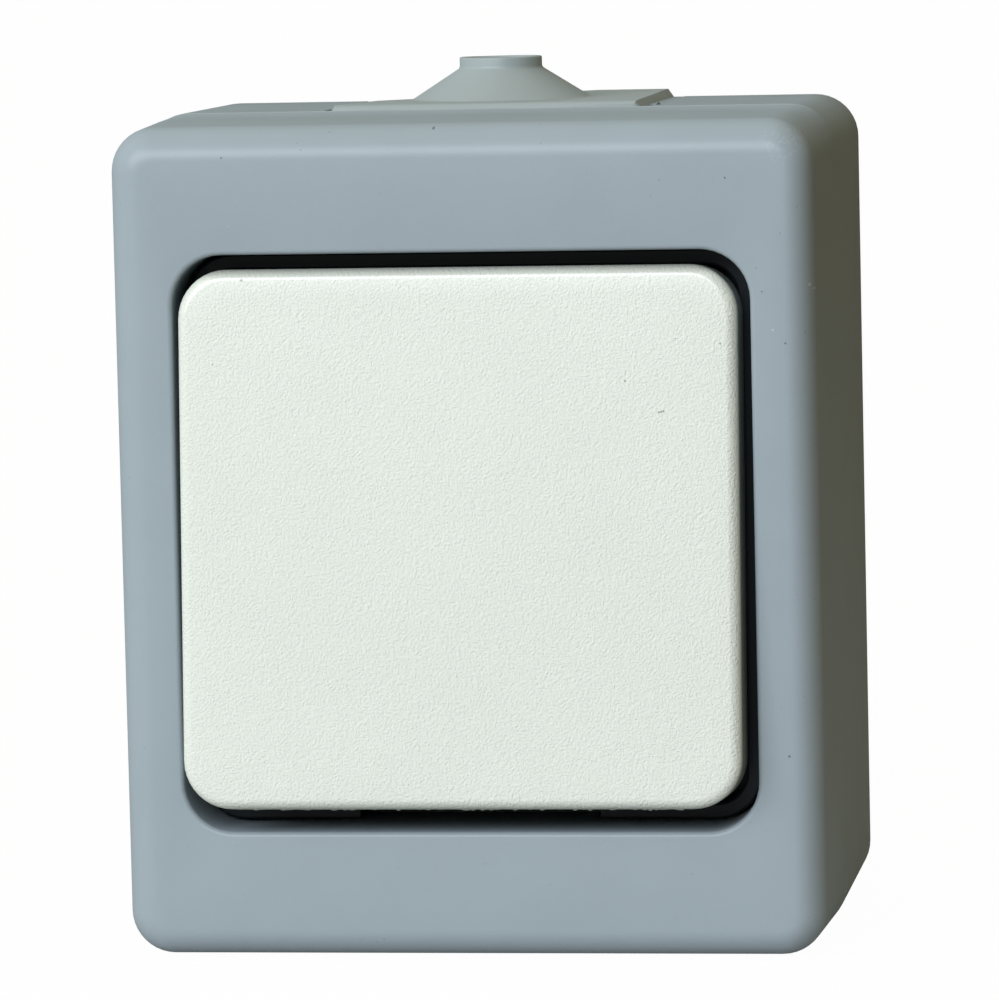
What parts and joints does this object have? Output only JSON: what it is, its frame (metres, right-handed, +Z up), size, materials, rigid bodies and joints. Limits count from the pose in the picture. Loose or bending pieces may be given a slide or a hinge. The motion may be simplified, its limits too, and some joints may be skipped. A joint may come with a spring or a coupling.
{
  "type": "pushbutton switch",
  "caption": "Surface-mounted damp-room pushbutton switch with a large square sprung key in a grey hood and a slide-in cable grommet on top.",
  "frame": {"origin": "middle of the flat back of the housing, on the wall", "axes": "+Y points into the wall, -Y is the way the key faces, +Z is up with the cable inlet at the top, +X is to the right as seen by the user"},
  "size_m": [0.0636, 0.0487, 0.08],
  "materials": {
    "grey_plastic": "satin moulded grey plastic",
    "grey_soft": "soft grey grommet plastic",
    "key_plastic": "off-white plastic with a fine grain",
    "dark_plastic": "dark grey plastic",
    "tray_plastic": "grey plastic",
    "insert_plastic": "cream thermoset",
    "cover_plastic": "anthracite thermoplastic",
    "seal_rubber": "black rubber",
    "zinc_steel": "zinc-plated steel",
    "spring_steel": "spring steel",
    "brass": "plain brass",
    "copper_strip": "phosphor bronze strip",
    "silver_contact": "silver alloy contact"
  },
  "bodies": {
    "housing": {"base_tray": "tray_plastic", "hood": "grey_plastic", "cable_grommet": "grey_soft", "rim_seal": "seal_rubber", "splash_collar": "dark_plastic", "socket": "insert_plastic", "socket_cover": "cover_plastic", "bridge": "zinc_steel", "common_block": "brass", "switched_block": "brass", "earth_block": "brass", "common_strip": "copper_strip", "switched_strip": "copper_strip", "lever_pin": "zinc_steel", "fixed_contact": "silver_contact", "contact_spring": "spring_steel", "return_spring": "spring_steel", "terminal_screws": "zinc_steel", "earth_screw": "zinc_steel", "insert_screws": "zinc_steel", "hood_screws": "zinc_steel", "screw_washers": "seal_rubber", "insert_rivets": "brass"},
    "key": {"key": "key_plastic", "carrier": "cover_plastic"},
    "contact_lever": {"contact_lever": "copper_strip", "moving_contact": "silver_contact"}
  },
  "joints": [
    {"name": "key_press", "type": "hinge", "parent": "housing", "child": "key", "pos_m": [-0.0003, -0.038, 0], "axis": [1, 0, 0], "range_deg": [0, 8.34], "stiffness_Nm_per_rad": 0.12, "springref_deg": -20.05, "deforming": ["return_spring"]},
    {"name": "lever_swing", "type": "hinge", "parent": "housing", "child": "contact_lever", "pos_m": [0, -0.02, 0.008], "axis": [1, 0, 0], "range_deg": [0, 5], "deforming": ["contact_spring"]}
  ],
  "couplings": [
    {"joint": "lever_swing", "follows": "key_press", "ratio": 0.55}
  ]
}
